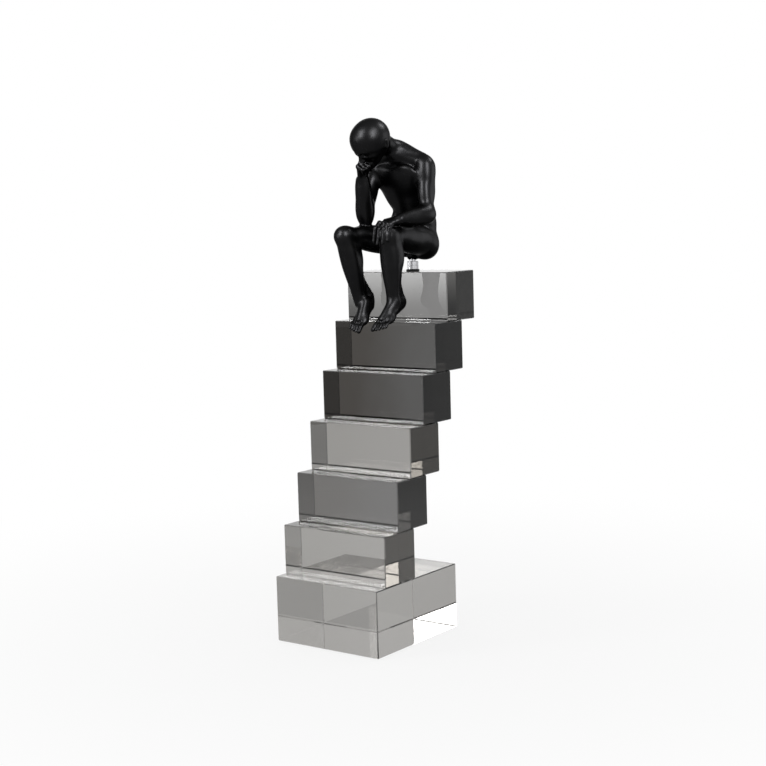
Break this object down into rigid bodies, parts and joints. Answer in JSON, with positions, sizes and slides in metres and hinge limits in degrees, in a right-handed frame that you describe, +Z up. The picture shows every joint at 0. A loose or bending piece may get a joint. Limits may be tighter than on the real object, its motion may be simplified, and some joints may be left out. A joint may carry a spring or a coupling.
{
  "type": "desk ornament",
  "caption": "Desk ornament: a dark seated figure in thought, held on a short metal post above a staggered stack of smoky glass blocks.",
  "frame": {"origin": "centre of the underside of the base block", "axes": "+Z up, +X along the glass bars to the right, +Y to the back; the figure looks to -Y"},
  "size_m": [0.076, 0.1105, 0.3133],
  "materials": {
    "smoky_glass": "polished, smoky grey",
    "black_rubber": "matt black",
    "bright_post": "bright polished",
    "black_figure": "satin black"
  },
  "bodies": {
    "root": {"crystal_base": "smoky_glass", "crystal_step_1": "smoky_glass", "crystal_step_2": "smoky_glass", "crystal_step_3": "smoky_glass", "crystal_step_4": "smoky_glass", "crystal_step_5": "smoky_glass", "crystal_step_6": "smoky_glass", "seat_washer": "black_rubber", "seat_post": "bright_post", "figure": "black_figure"}
  },
  "joints": []
}
